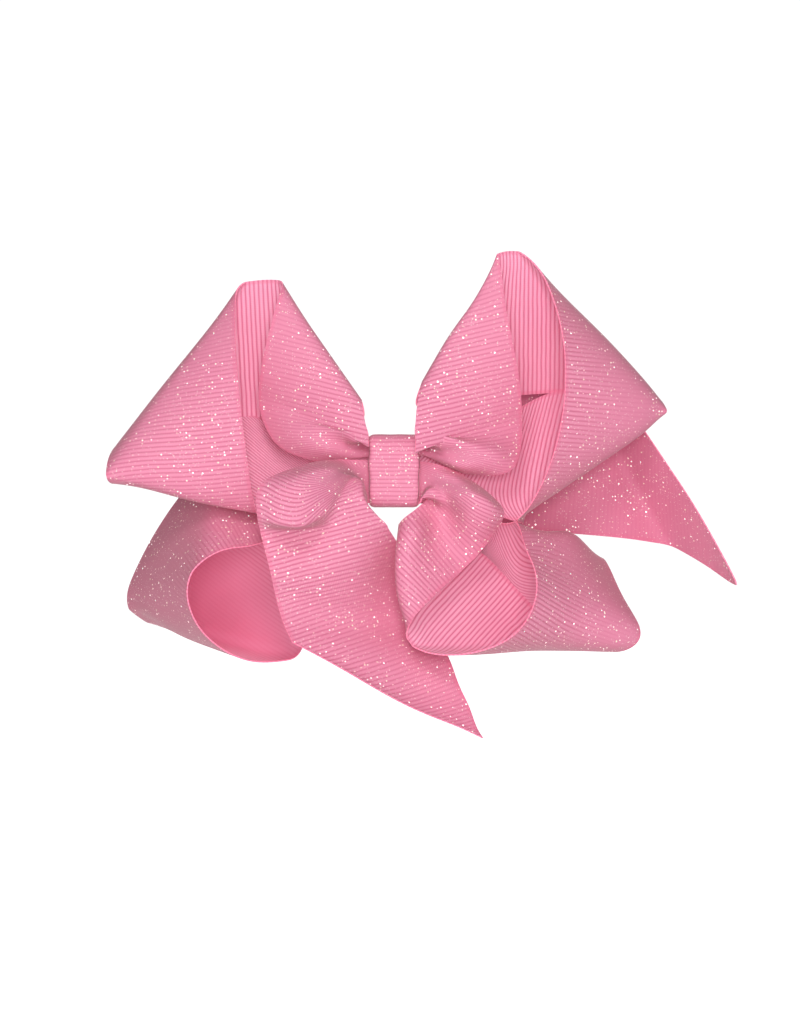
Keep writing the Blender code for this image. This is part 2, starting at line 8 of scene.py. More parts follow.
import bmesh
import bpy
import numpy as np
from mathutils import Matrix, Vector


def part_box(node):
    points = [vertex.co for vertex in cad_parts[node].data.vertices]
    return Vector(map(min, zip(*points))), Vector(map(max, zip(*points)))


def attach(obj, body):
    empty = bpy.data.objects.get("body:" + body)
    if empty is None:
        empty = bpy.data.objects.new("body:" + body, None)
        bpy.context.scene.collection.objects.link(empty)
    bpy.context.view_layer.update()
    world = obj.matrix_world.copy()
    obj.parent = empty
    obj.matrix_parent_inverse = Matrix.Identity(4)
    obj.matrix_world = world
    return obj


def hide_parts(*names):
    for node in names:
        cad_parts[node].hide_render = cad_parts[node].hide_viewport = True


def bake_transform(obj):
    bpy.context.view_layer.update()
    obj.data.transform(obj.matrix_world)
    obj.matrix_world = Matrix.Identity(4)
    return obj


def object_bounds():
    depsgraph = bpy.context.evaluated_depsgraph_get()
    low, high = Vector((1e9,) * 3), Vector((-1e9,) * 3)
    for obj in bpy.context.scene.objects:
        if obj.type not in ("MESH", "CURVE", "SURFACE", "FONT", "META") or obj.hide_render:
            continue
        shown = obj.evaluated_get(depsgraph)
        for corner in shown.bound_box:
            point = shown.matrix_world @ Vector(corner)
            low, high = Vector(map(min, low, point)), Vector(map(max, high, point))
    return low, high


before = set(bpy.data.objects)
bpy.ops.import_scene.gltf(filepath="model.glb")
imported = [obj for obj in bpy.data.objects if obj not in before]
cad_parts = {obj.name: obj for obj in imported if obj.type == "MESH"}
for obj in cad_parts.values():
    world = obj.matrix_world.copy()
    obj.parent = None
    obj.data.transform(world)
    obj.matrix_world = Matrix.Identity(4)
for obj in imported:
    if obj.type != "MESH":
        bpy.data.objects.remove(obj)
CAD_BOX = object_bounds()

MM = 0.001

# Ribbon
RIBBON_WIDTH = 38.1
RIBBON_THICK = 0.38
SOFTNESS = 3.0
FOLD_STEP = 0.6
COLUMNS = 33
GATHER_ROWS = 80
TONGUE_END = 1.0
MOUTH_SPREAD = 1.21
RIB_PITCH = 1.22
SELVEDGE = 1.3

# Middle of the bow
BAND_THICK = 0.6
BAND_CORNER = 3.2
BAND_ROWS = 180
BAND_COLUMNS = 33

BAND_LAP = 0.55
BAND_PITCH = 1.09
WARP_PITCH = 0.45

# Clip spring
SPRING_RADIUS = 1.5
WIRE_RADIUS = 0.25
SPRING_TURNS = 3
SPRING_HALF = 1.4
SPRING_LEG = 5.2
SPRING_SLANT = 12.0

# Colours, linear. Each groove colour is the ribbon's pink as painted rib shade, each crest colour the
# same pink as painted rib highlight.
FACE_GROOVE_SHADE = (0.66, 0.13, 0.24)
FACE_CREST_HIGHLIGHT = (0.89, 0.335, 0.485)
FACE_BORDER = (0.82, 0.19, 0.32)
# Painted shade and sheen for the face where it is seen edge-on.
FACE_GRAZING_SHADE_AND_SHEEN = (0.50, 0.13, 0.19)
BACK_GROOVE_SHADE = (0.74, 0.135, 0.26)
BACK_CREST_HIGHLIGHT = (0.96, 0.45, 0.61)
BACK_BORDER = (0.85, 0.20, 0.34)
# Also the painted shade on the rear of the back face.
EDGE_GROOVE_AND_REAR_SHADE = (0.66, 0.12, 0.23)
EDGE_CREST_HIGHLIGHT = (0.84, 0.26, 0.39)
PATCH_TINT = (0.95, 0.88, 0.92)
PATCH_DEPTH = 0.5
FACE_RELIEF = 0.12
BACK_RELIEF = 0.17

# Glitter: flakes and finer specks, painted as glints
FLAKE_SPACING = 0.85
FLAKE_SIZE = 0.23
FLAKE_PAINTED_GLINT = 1.3
FINE_GLINT_SPACING = 0.5
FINE_GLINT_SIZE = 0.13

# Studio
CAMERA_X = 1.755
CAMERA_Z = -11.07
CAMERA_DISTANCE = 1.152
FLOOR_DROP = 0.08
FLOOR_HALF = 4.0
KEY_POWER = 7.4
LAMP_POWER = 0.48
FILL_POWER = 0.7
RIM_POWER = 2
BACKDROP_GLOW = 1.06
BACKDROP_SPILL = 0.3
WORLD_LIGHT = 0.28

# Each ribbon is a folded flat strip. "tip" is a point on its front edge, "along" and "across"
# are the strip's directions there. Each fold line gives where it meets the front edge and the back
# edge (mm along the strip from the tip), the turning done so far in degrees, and optionally the
# share of the width still outside the gathers. "face_out" swaps which side carries the glitter.
RIBBONS = {
    "loop_upper_left": {
        "tip": (-35.5, 5.7, 50.3),
        "along": (-0.994, 0.103, -0.043),
        "across": (0.052, 0.087, -0.995),
        "mirrored": False,
        "pulls": [((-35, 6, 50), (0, 0, 1.6), 11), ((-70, -8, -5), (0, 0, 1.7), 14),
                  ((-68, -3, 22), (-0.6, 0, 0.4), 20)],
        "folds": [(-38, -46, -211, 0.92), (-20, -44.5, -183, 0.9), (-12, -44, -170, 0.85),
                  (-8, -39.5, -105, 0.75), (-5, -36.5, -56, 0.82), (-4.8, -31.5, -49, 0.96),
                  (-4.5, -22, -35), (0, 0, 0), (3.5, 24, 8), (5, 38.5, 63), (12, 58.5, 139),
                  (63.5, 59, 195), (74, 59.5, 237)],
        "start": {
            "slot": (-6.6, -4.6, 3.2, 7.6),
            "pleats": (1, 1.3, -0.15),
            "sections": [
                [(-31, -3, 7), (-26, -7, 10), (-17.5, -10, 10.8), (-11.5, -12.5, 10),
                 (-7.3, -11.5, 8.4)],
                [(-22, -5, 3.2), (-18.5, -9, 6.2), (-14, -8.5, 7.6), (-10.5, -11.5, 8),
                 (-7.1, -9, 8.1)],
            ],
        },
        "end": {
            "slot": (-6.6, -2.2, -7, 6),
            "sections": [
                [(-36, -2.5, -11.5), (-38, 0, -6), (-40, 3.5, 1), (-42, 7, 9), (-44, 10, 16)],
                [(-20, -0.8, -9.5), (-20, -0.3, -5.5), (-20, 0.5, -1), (-20, 1, 4), (-20, 2, 9)],
            ],
        },
    },
    "loop_upper_right": {
        "face_out": True,
        "tip": (30.3, -0.8, 56.9),
        "along": (0.977, 0.202, 0.072),
        "across": (0.009, 0.298, -0.954),
        "mirrored": True,
        "pulls": [((29, 2, 57), (0, 0, 2.6), 11), ((25, -2, 54), (1.8, 0, 0), 8),
                  ((20, -4, 45), (1.3, 0, 0), 8), ((75, 9, 16), (-1.3, 0, 0.6), 7),
                  ((60, 4, 36), (0.5, 0, 0.5), 18)],
        "folds": [(-48, -51, -205, 0.87), (-20, -49.5, -170, 0.85), (-5.5, -48.5, -152, 0.8),
                  (-5, -44, -105, 0.72), (-4.5, -40, -64, 0.7), (-4.3, -32, -50, 0.95),
                  (-4, -16, -21), (0, 0, 0), (2.5, 28, 2), (3, 40, 53), (15, 49, 114),
                  (78, 49.5, 194), (85, 50, 217)],
        "start": {
            "slot": (6.6, -4.6, 3.6, 7.6),
            "pleats": (1, -1.3, -0.15),
            "sections": [
                [(31, -6, 0), (27, -10, 4), (20, -12, 7), (13, -12.5, 9.2), (7.2, -11.5, 8.4)],
                [(21, -7, -0.6), (18, -11, 2), (14, -9.5, 5), (10.5, -11.5, 7), (7.1, -9, 8.1)],
            ],
        },
        "end": {
            "slot": (6.6, -2.2, -7, 6),
            "sections": [
                [(35, 2, -14), (37, 5, -5), (40, 8, 4), (43, 11, 13), (46, 13, 22)],
                [(21, -1, -10), (21, -0.5, -5), (22, 0.5, 0), (23, 2, 6), (24, 3, 12)],
            ],
        },
    },
    "loop_lower_left": {
        "face_out": True,
        "tip": (-42.5, 7.1, -50.4),
        "along": (-0.64, -0.714, 0.282),
        "across": (-0.684, 0.698, 0.214),
        "mirrored": True,
        "pulls": [((-68, 26, -41), (0.3, 0, 1.3), 9), ((-28.5, 20, -50.5), (2.5, 0, 0), 7)],
        "folds": [(-40, -22, -117), (-19.5, -2.5, -116), (-19, -0.5, -33), (0, 0, 0), (13.5, 8, 16),
                  (26.5, 8.5, 45), (34.5, 16, 85), (37.5, 58.5, 110), (50, 62, 167)],
        "start": {
            "slot": (-6.6, 0.4, -7.2, 4),
            "sections": [
                [(-11, 1.5, -16), (-14, 2, -12.5), (-17, 2.5, -9), (-20, 3, -5.5), (-22, 3.5, -2)],
            ],
        },
        "end": {
            "slot": (-6.6, 2.8, -7.2, 6),
            "sections": [
                [(-22, 4, -14), (-23, 4.5, -9), (-24, 5.5, -4), (-25, 6.5, 1), (-26, 7.5, 6)],
            ],
        },
    },
    "loop_lower_right": {
        "tip": (2.1, -9.8, -46),
        "along": (0.663, 0.137, -0.736),
        "across": (0.618, 0.456, 0.641),
        "mirrored": False,
        "width": 36.3,
        "pulls": [((56, 8, -46), (8, 0, -2), 11), ((50, 14, -24), (-1, 0, 2), 9),
                  ((35, -3, -20), (0, 0, 4), 9), ((45, 5, -22), (0, 0, 6), 9),
                  ((62, 10, -33), (-1, 0, 0), 10), ((67, 6, -47), (2.6, 0, 0), 6),
                  ((56, 5, -51), (0, 0, 2), 13), ((32, 2, -50), (0, 0, 1), 10),
                  ((50, 11, -21), (0, 0, 2.6), 7), ((2, -8, -25), (-1.3, -4, 0), 11),
                  ((2.5, -10, -44), (2.2, 0, 0.5), 7), ((38, -1, -19), (0, 0, 1.6), 8),
                  ((12.8, -10, -13), (0, 5, 0), 4.2), ((12.5, -10, -19), (0, 3, 0), 4.5),
                  ((7, -9, -16), (0, -3.6, 0), 5), ((21, -10, -14), (0, -2, 0), 8)],
        "folds": [(-27, -42, -185, 0.57), (-12, -41, -178, 0.57), (-1, -38.5, -72, 0.58),
                  (-0.5, -35.5, -15, 0.65), (0, 0, 0), (1.5, 30.5, 3), (2, 37.5, 57), (30, 43, 106),
                  (48, 54, 181), (58.5, 73, 221)],
        "start": {
            "slot": (6.6, -6.2, 2, -7.4),
            "sections": [
                [(29.5, -8, -12), (25.5, -13, -8.5), (21, -15, -6.5), (17.5, -12.5, -7),
                 (14.5, -9, -8), (12, -9.5, -7.6), (9.2, -8, -7.3)],
                [(17.5, -8, -0.8), (15.5, -10.5, -1.6), (13.6, -10, -2.6), (12.2, -8.8, -3.4),
                 (11, -8.4, -4.2), (9.6, -9.8, -5.4), (8, -8.6, -7.2)],
            ],
        },
        "end": {
            "slot": (6.6, 0.4, -1, -7.2),
            "sections": [
                [(30, 3, -16.5), (32, 7, -22), (33, 10.5, -28), (34, 13.5, -34), (35, 16, -40)],
                [(17, 1, -7.5), (18, 1.8, -10.5), (19, 2.8, -13.5), (20, 4, -17), (21, 5.5, -20)],
            ],
        },
    },
    "tail_front_left": {
        "face_out": True,
        "tip": (-33.1, -17.5, -25.6),
        "along": (0.236, 0.127, -0.963),
        "across": (0.959, 0.127, 0.251),
        "mirrored": False,
        "pulls": [((-24, -18, -16), (0, 3.5, 0), 7), ((5, -9, -31), (1.5, 12, 0), 13),
                  ((3, -9, -20), (-1.5, 4, 0), 9), ((13, -2, -50), (2.4, 0, 0), 10),
                  ((19, -5, -63), (1.6, 0, 0.2), 7), ((3, -11, -62), (-0.6, 0, -1.4), 18)],
        "folds": [(-9, -1, -9, 0.89), (0, 0, 0, 0.91), (4, 10, -24), (5, 30, -33), (20.5, 31, 35),
                  (21.5, 50.5, 20), (22.5, 65, 56)],
        "start": {
            "slot": (-6.6, -6.2, 2.4, -7.2),
            "sections": [
                [(-36, -22, -12), (-30, -25, -14), (-24, -25, -14.5), (-18.5, -21.5, -11.5),
                 (-14, -15.5, -8), (-9, -14, -8.8), (-4, -13.5, -12.3)],
                [(-36, -22, -5.5), (-29, -24.5, -6), (-22.5, -23.5, -6.5), (-16.5, -18.5, -6),
                 (-12.3, -13, -4.5), (-8.8, -14, -5.5), (-7.1, -11.5, -8.6)],
                [(-25, -16.5, 1), (-19.5, -19, 0), (-15.5, -17, -1), (-12.3, -13.5, -1.5),
                 (-10.2, -10, -1.8), (-8.3, -11.5, -3.2), (-7.1, -10, -7.2)],
            ],
        },
    },
    "tail_rear_right": {
        "face_out": True,
        "tip": (48.9, 21, -17),
        "along": (0.997, 0.006, -0.079),
        "across": (0.079, 0.043, 0.996),
        "mirrored": False,
        "pulls": [((91, 12, -27), (2, 0, -3.5), 9), ((78, 14, -4), (-1.1, 0, 0), 18),
                  ((82, 20, -22), (0, 0, -1.4), 10)],
        "trim": (54, 14),
        "folds": [(-20, -20, -22), (0, 0, 0), (24, 1, -28), (29.5, 2.5, 39), (32, 33.5, 51),
                  (60.5, 46, 79)],
        "start": {
            "slot": (6.6, 2.8, -7.2, 7.2),
            "sections": [
                [(18, 4, -13), (18, 4.2, -5), (18, 4.4, 2), (18, 4.6, 9), (18, 4.8, 15)],
            ],
        },
    },
}


def unit(v):
    return v / np.linalg.norm(v)


def turned(v, axis, angle):
    """Vector v turned about an axis through the origin."""
    a = unit(axis)
    return v * math.cos(angle) + np.cross(a, v) * math.sin(angle) + a * (a @ v) * (1 - math.cos(angle))


def softened(values, reach):
    """Moving average that carries straight on past both ends."""
    window = np.ones(2 * reach + 1) / (2 * reach + 1)
    before = 2 * values[0] - values[reach:0:-1]
    after = 2 * values[-1] - values[-2:-reach - 2:-1]
    return np.convolve(np.concatenate([before, values, after]), window, "valid")


def fine_folds(folds):
    """Fold lines every FOLD_STEP along the strip, with the creases rounded off."""
    table = np.array([tuple(f) + (1.0,) * (4 - len(f)) for f in folds], float)
    span = np.max(np.abs(np.diff(table[:, :2], axis=0)), axis=1)
    run = np.concatenate([[0], np.cumsum(np.maximum(span, 0.5))])
    at = np.linspace(0, run[-1], int(run[-1] / FOLD_STEP) + 1)
    reach = max(1, int(round(SOFTNESS / FOLD_STEP)))
    return [softened(np.interp(at, run, table[:, c]), reach) for c in range(4)]


def trimmed_folds(spec):
    """Fold lines of one strip, cut short where the strip is snipped off at a slant."""
    front, back, turn, reach = fine_folds(spec["folds"])
    if "trim" in spec:
        far, near = spec["trim"]
        reach = np.minimum(reach, (far - front) / (far - near + back - front))
        kept = reach > 0.01
        front, back, turn, reach = front[kept], back[kept], turn[kept], reach[kept]
    return front, back, np.radians(turn) * (-1 if spec["mirrored"] else 1), reach


def folded(spec):
    """Fold the flat strip about its fold lines.

    Returns for each fold line a row of points, each point's distance along and across the flat
    strip, and the strip's direction there.
    """
    front, back, turn, reach = trimmed_folds(spec)
    width = spec.get("width", RIBBON_WIDTH)
    share = np.linspace(0, 1, COLUMNS)
    rows = np.zeros((len(front), COLUMNS, 3))
    ways = np.zeros((len(front), 3))
    first = int(np.argmin(np.abs(front + back)))
    for direction in (1, -1):
        origin = np.array(spec["tip"], float)
        along = unit(np.array(spec["along"], float))
        side = np.array(spec["across"], float)
        side = unit(side - along * (side @ along))
        i = first
        while True:
            s = front[i] + (back[i] - front[i]) * share * reach[i]
            rows[i] = origin + s[:, None] * along + (share * reach[i] * width)[:, None] * side
            ways[i] = along
            j = i + direction
            if not 0 <= j < len(front):
                break
            a = origin + front[j] * along
            axis = origin + back[j] * along + width * side - a
            next_along = turned(along, axis, turn[i] - turn[j])
            side = turned(side, axis, turn[i] - turn[j])
            origin = a - front[j] * next_along
            along = next_along
            i = j
    run = front[:, None] + (back - front)[:, None] * share * reach[:, None]
    across = share * reach[:, None]
    return rows, run, across, ways


def eased(u, a, b, slope_a, slope_b):
    """Smooth curve from a to b that leaves and arrives with the given slopes."""
    rise = 3 * u**2 - 2 * u**3
    return (1 - rise) * a + (u**3 - 2 * u**2 + u) * slope_a + rise * b + (u**3 - u**2) * slope_b


def spread(points):
    """Smooth curve through a few points, resampled to COLUMNS points."""
    points = np.array(points, float)
    at = np.linspace(0, len(points) - 1, COLUMNS)
    i = np.clip(at.astype(int), 0, len(points) - 2)
    slope = np.gradient(points, axis=0)
    return eased((at - i)[:, None], points[i], points[i + 1], slope[i], slope[i + 1])


def tongue_rows(slot):
    """Where the gathered end enters the knot, and where it stops inside."""
    x, y, z_front, z_back = slot
    z = np.linspace(z_front, z_back, COLUMNS)
    mouth = np.stack([np.full(COLUMNS, x), np.full(COLUMNS, y), z], 1)
    inner = mouth.copy()
    inner[:, 0] = math.copysign(TONGUE_END, x)
    mouth[:, 2] *= MOUTH_SPREAD
    return mouth, inner


def section_slopes(sections, gaps, way, side):
    slope = np.zeros_like(sections)
    for k in range(1, len(sections) - 1):
        g0 = gaps[k - 1][:, None] + 1e-6
        g1 = gaps[k][:, None] + 1e-6
        before = (sections[k] - sections[k - 1]) / g0
        after = (sections[k + 1] - sections[k]) / g1
        slope[k] = (before * g1 + after * g0) / (g0 + g1)
    slope[0] = way
    slope[-2:] = (-side, 0, 0)
    return slope


def pleated(sheet, run, pleats):
    """Tucks that grow towards the knot, pushed out along the sheet's normal."""
    number, height, phase = pleats
    normal = np.cross(np.gradient(sheet, axis=0), np.gradient(sheet, axis=1))
    normal /= np.linalg.norm(normal, axis=2, keepdims=True) + 1e-9
    grow = np.clip(run / run[-1], 0, 1) ** 1.5
    wave = np.cos(2 * np.pi * (number * np.linspace(0, 1, COLUMNS) + phase))
    return sheet + normal * (height * grow * wave)[:, :, None]


def gathered(edge, way, gather):
    """Rows from a strip's last fold line through the gathers into the knot, and their run."""
    mouth, inner = tongue_rows(gather["slot"])
    sections = np.array([edge] + [spread(m) for m in gather["sections"]] + [mouth, inner])
    gaps = np.linalg.norm(np.diff(sections, axis=0), axis=2)
    slope = section_slopes(sections, gaps, way, math.copysign(1, gather["slot"][0]))
    share = gaps.mean(axis=1) / gaps.mean(axis=1).sum()
    rows = [edge[None]]
    for k in range(len(sections) - 1):
        count = max(2, int(round(GATHER_ROWS * share[k])))
        u = np.linspace(0, 1, count + 1)[1:, None, None]
        g = gaps[k][None, :, None]
        rows.append(eased(u, sections[k], sections[k + 1], slope[k] * g, slope[k + 1] * g))
    sheet = np.concatenate(rows)
    step = np.linalg.norm(np.diff(sheet, axis=0), axis=2)
    run = np.concatenate([np.zeros((1, COLUMNS)), np.cumsum(step, axis=0)])
    if "pleats" in gather:
        sheet = pleated(sheet, run, gather["pleats"])
    return sheet[1:], run[1:]


def pulled(rows, pulls):
    """Soft proportional pulls: each moves what lies near its centre."""
    total = np.zeros_like(rows)
    for centre, shift, radius in pulls:
        distance = np.linalg.norm(rows - np.array(centre, float), axis=-1, keepdims=True)
        total += np.exp(-((distance / radius) ** 2)) * np.array(shift, float)
    return rows + total


def ribbon_sheet(spec):
    """Whole strip: points, distance along and share across the flat ribbon."""
    rows, run, across, ways = folded(spec)
    if "start" in spec:
        more, away = gathered(rows[0], -ways[0], spec["start"])
        rows = np.concatenate([more[::-1], rows])
        run = np.concatenate([(run[0] - away)[::-1], run])
        across = np.concatenate([np.repeat(across[:1], len(more), axis=0), across])
    if "end" in spec:
        more, away = gathered(rows[-1], ways[-1], spec["end"])
        rows = np.concatenate([rows, more])
        run = np.concatenate([run, run[-1] + away])
        across = np.concatenate([across, np.repeat(across[-1:], len(more), axis=0)])
    return pulled(rows, spec.get("pulls", [])), run, across


def middle():
    """Middle of the knot in the frame, in metres."""
    low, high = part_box("knot_wrap")
    return [(a + b) / 2 for a, b in zip(low, high)]


KNOT = middle()
KNOT_LOW, KNOT_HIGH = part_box("knot_wrap")
KNOT_DEPTH_OFFSET = 0.15


def place(point):
    """Millimetres from the knot's middle to metres in the frame."""
    x, y, z = point
    return (KNOT[0] + x * MM, KNOT[1] + (y - KNOT_DEPTH_OFFSET) * MM, KNOT[2] + z * MM)


def smoothed_mesh(name, verts, faces):
    mesh = bpy.data.meshes.new(name)
    mesh.from_pydata(verts, [], faces)
    mesh.polygons.foreach_set("use_smooth", [True] * len(mesh.polygons))
    obj = bpy.data.objects.new(name, mesh)
    bpy.context.scene.collection.objects.link(obj)
    return obj


def point_values(obj, name, values):
    """Store one number per vertex for the materials to read."""
    layer = obj.data.attributes.new(name, "FLOAT", "POINT")
    layer.data.foreach_set("value", np.asarray(values, np.float32).ravel())


def sheet_faces(rows, columns, closed=False):
    faces = []
    for i in range(rows if closed else rows - 1):
        k = (i + 1) % rows
        for j in range(columns - 1):
            faces.append((i * columns + j, i * columns + j + 1, k * columns + j + 1, k * columns + j))
    return faces


def ribbon(name, spec, looks):
    """One ribbon strip as a thin double-sided sheet with a woven selvedge on both edges."""
    points, run, across = ribbon_sheet(spec)
    rows, columns = points.shape[:2]
    verts = [place(p) for p in points.reshape(-1, 3)]
    obj = smoothed_mesh("visual_" + name, verts, sheet_faces(rows, columns))
    width = spec.get("width", RIBBON_WIDTH)
    point_values(obj, "run", run)
    point_values(obj, "across", across * width)
    point_values(obj, "selvedge", width * np.minimum(across, 1 - across))
    point_values(obj, "depth", points[:, :, 1])
    solid = obj.modifiers.new("thickness", "SOLIDIFY")
    solid.thickness = RIBBON_THICK * MM
    solid.offset = 0
    solid.use_quality_normals = True
    solid.material_offset = 1
    solid.material_offset_rim = 2
    crisp = obj.modifiers.new("crisp edges", "EDGE_SPLIT")
    crisp.split_angle = math.radians(60)
    for look in looks:
        obj.data.materials.append(look)
    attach(obj, "bow")
    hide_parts(name)
    return obj


def band_path():
    """Outline of the knot seen from the side, as (depth, height) points."""
    size = [(b - a) / MM for a, b in zip(KNOT_LOW, KNOT_HIGH)]
    half_depth, half_height = size[1] / 2, size[2] / 2
    r = BAND_CORNER
    corners = [(1, -1, 270), (1, 1, 0), (-1, 1, 90), (-1, -1, 180)]
    points = []
    for y_side, z_side, start in corners:
        y, z = y_side * (half_depth - r), z_side * (half_height - r)
        for k in range(13):
            a = math.radians(start + 90 * k / 12)
            points.append((y + r * math.cos(a), z + r * math.sin(a)))
    points = np.array([(half_depth, 0.0)] + points[13:] + points[:13] + [(half_depth, 0.0)])
    return points


def resampled(points, count):
    run = np.concatenate([[0], np.cumsum(np.linalg.norm(np.diff(points, axis=0), axis=1))])
    at = np.linspace(0, run[-1], count)
    return np.stack([np.interp(at, run, points[:, c]) for c in range(2)], 1), at


def band_profile():
    """Section across the band: ribbon folded in thirds, with round folded edges."""
    half = (KNOT_HIGH[0] - KNOT_LOW[0]) / MM / 2
    thick = BAND_THICK
    profile = []
    for k in range(BAND_COLUMNS):
        x = half * (2 * k / (BAND_COLUMNS - 1) - 1)
        edge = max(0.0, abs(x) - (half - 2 * thick)) / (2 * thick)
        profile.append((x, thick * math.sqrt(max(0.0, 1 - edge**2))))
    return profile


def band_sheet():
    """The knot's band wound once round the middle, with its end lapped over at the back."""
    line, run = resampled(band_path(), BAND_ROWS)
    tangent = np.gradient(line, axis=0)
    tangent /= np.linalg.norm(tangent, axis=1, keepdims=True)
    outward = np.stack([tangent[:, 1], -tangent[:, 0]], 1)
    profile = band_profile()
    verts, runs, acrosses, depths = [], [], [], []
    lapped = line[:8]
    line = np.concatenate([line, lapped])
    outward = np.concatenate([outward, outward[:8]])
    run = np.concatenate([run, run[-1] + run[:8]])
    last = run[-1]
    for (y, z), (ny, nz), s in zip(line, outward, run):
        lift = BAND_LAP * eased(np.clip((s - last + 9) / 5, 0, 1), 0.0, 1.0, 0.0, 0.0)
        waist = 1 - 0.035 * math.exp(-((z + 8) / 5) ** 2) - 0.02 * math.sin(s * 0.9)
        for x, depth in profile:
            ripple = 0.10 * math.sin(1.1 * x + 0.25 * s) * math.exp(-(z / 9) ** 2)
            out = depth - BAND_THICK + lift + ripple
            verts.append(place((x * waist + 0.15, y + ny * out + 0.15, z + nz * out)))
            runs.append(s * RIB_PITCH / BAND_PITCH)
            acrosses.append(x)
            depths.append(y)
    return verts, runs, acrosses, depths, len(run)


def knot_band(looks):
    verts, runs, acrosses, depths, rows = band_sheet()
    obj = smoothed_mesh("visual_knot_wrap", verts, sheet_faces(rows, BAND_COLUMNS))
    point_values(obj, "run", runs)
    point_values(obj, "across", acrosses)
    point_values(obj, "selvedge", np.full(len(verts), 5.0))
    point_values(obj, "depth", depths)
    solid = obj.modifiers.new("thickness", "SOLIDIFY")
    solid.thickness = BAND_THICK * MM
    solid.offset = -1
    solid.material_offset = 1
    solid.material_offset_rim = 2
    for look in looks:
        obj.data.materials.append(look)
    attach(obj, "bow")
    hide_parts("knot_wrap")


class Look:
    """Small helper that builds one material's nodes."""

    def __init__(self, name):
        self.material = bpy.data.materials.new(name)
        self.material.use_nodes = True
        self.tree = self.material.node_tree
        self.shader = self.tree.nodes["Principled BSDF"]

    def link(self, value, socket):
        if isinstance(value, bpy.types.NodeSocket):
            self.tree.links.new(value, socket)
        else:
            socket.default_value = value

    def attribute(self, name):
        node = self.tree.nodes.new("ShaderNodeAttribute")
        node.attribute_name = name
        return node.outputs["Fac"]

    def math(self, operation, a, b=0.0, c=0.0):
        node = self.tree.nodes.new("ShaderNodeMath")
        node.operation = operation
        for value, socket in zip((a, b, c), node.inputs):
            self.link(value, socket)
        return node.outputs[0]

    def ramp(self, value, low, high):
        """0 below low, 1 above high, smooth between them."""
        node = self.tree.nodes.new("ShaderNodeMapRange")
        node.interpolation_type = "SMOOTHSTEP"
        self.link(value, node.inputs["Value"])
        node.inputs["From Min"].default_value = low
        node.inputs["From Max"].default_value = high
        return node.outputs[0]

    def mix(self, factor, a, b, blend="MIX"):
        node = self.tree.nodes.new("ShaderNodeMix")
        node.data_type = "RGBA"
        node.blend_type = blend
        self.link(factor, node.inputs["Factor"])
        for value, key in ((a, "A"), (b, "B")):
            socket = [s for s in node.inputs if s.name == key and s.type == "RGBA"][0]
            self.link(value if isinstance(value, bpy.types.NodeSocket) else (*value, 1), socket)
        return [s for s in node.outputs if s.type == "RGBA"][0]

    def here(self):
        return self.tree.nodes.new("ShaderNodeTexCoord").outputs["Object"]

    def noise(self, size, detail=2.0, rough=0.5):
        """Noise with features about size millimetres across."""
        node = self.tree.nodes.new("ShaderNodeTexNoise")
        self.link(self.here(), node.inputs["Vector"])
        node.inputs["Scale"].default_value = 1 / (size * MM)
        node.inputs["Detail"].default_value = detail
        node.inputs["Roughness"].default_value = rough
        return node.outputs["Fac"]

    def cells(self, size):
        """Distance to the nearest of many scattered points, and a random value for each point."""
        node = self.tree.nodes.new("ShaderNodeTexVoronoi")
        self.link(self.here(), node.inputs["Vector"])
        node.inputs["Scale"].default_value = 1 / (size * MM)
        split = self.tree.nodes.new("ShaderNodeSeparateColor")
        self.tree.links.new(node.outputs["Color"], split.inputs[0])
        return node.outputs["Distance"], split.outputs[0], split.outputs[1]

    def facing(self, blend):
        node = self.tree.nodes.new("ShaderNodeLayerWeight")
        node.inputs["Blend"].default_value = blend
        return node.outputs["Facing"]

    def bump(self, height):
        """Height in millimetres."""
        node = self.tree.nodes.new("ShaderNodeBump")
        self.link(self.math("MULTIPLY", height, MM), node.inputs["Height"])
        node.inputs["Distance"].default_value = 1.0
        self.tree.links.new(node.outputs["Normal"], self.shader.inputs["Normal"])

    def set(self, **values):
        for key, value in values.items():
            socket = self.shader.inputs[key.replace("_", " ")]
            self.link((*value, 1) if isinstance(value, tuple) else value, socket)
        return self.material


def rib_shape(look, pitch, sharp):
    """Rounded ribs across the ribbon: 1 on a crest, 0 in a groove."""
    drift = look.math("MULTIPLY", look.math("SUBTRACT", look.noise(6.0), 0.5), 0.35)
    at = look.math("ADD", look.attribute("run"), drift)
    wave = look.math("SINE", look.math("MULTIPLY", at, math.pi / pitch))
    return look.math("POWER", look.math("ABSOLUTE", wave), sharp)


def warp_shape(look):
    """Fine warp threads that run along the ribbon over every rib."""
    wave = look.math("SINE", look.math("MULTIPLY", look.attribute("across"), 2 * math.pi / WARP_PITCH))
    return look.math("MULTIPLY_ADD", wave, 0.5, 0.5)


def woven_colour(look, ribs, warp, groove, crest, border):
    """Pink with painted shade in the rib grooves, painted highlight on the rib crests, uneven patches,
    painted shade between the warp threads, and selvedges.
    """
    # Painted rib shade and highlight: the pink runs darker in the grooves and lighter on the crests.
    colour = look.mix(ribs, groove, crest)
    patches = look.math("MULTIPLY", look.ramp(look.noise(22.0, 3.0), 0.3, 0.7), PATCH_DEPTH)
    colour = look.mix(patches, colour, PATCH_TINT, "MULTIPLY")
    # Painted shade between the fine warp threads, towards the groove colour.
    threads = look.math("MULTIPLY", look.math("SUBTRACT", 1.0, warp), 0.10)
    colour = look.mix(threads, colour, groove)
    inside = look.ramp(look.attribute("selvedge"), 0.5 * SELVEDGE, SELVEDGE)
    return look.mix(look.math("MULTIPLY_ADD", inside, -0.45, 0.45), colour, border)


def softened_ribs(look, ribs, near, far, least):
    """Ribs that flatten out towards the back of the bow, where the weave is less crisp."""
    fade = look.math("MULTIPLY", look.ramp(look.attribute("depth"), near, far), 1 - least)
    strength = look.math("SUBTRACT", 1.0, fade)
    return look.math("MULTIPLY_ADD", look.math("SUBTRACT", ribs, 0.6), strength, 0.6), strength


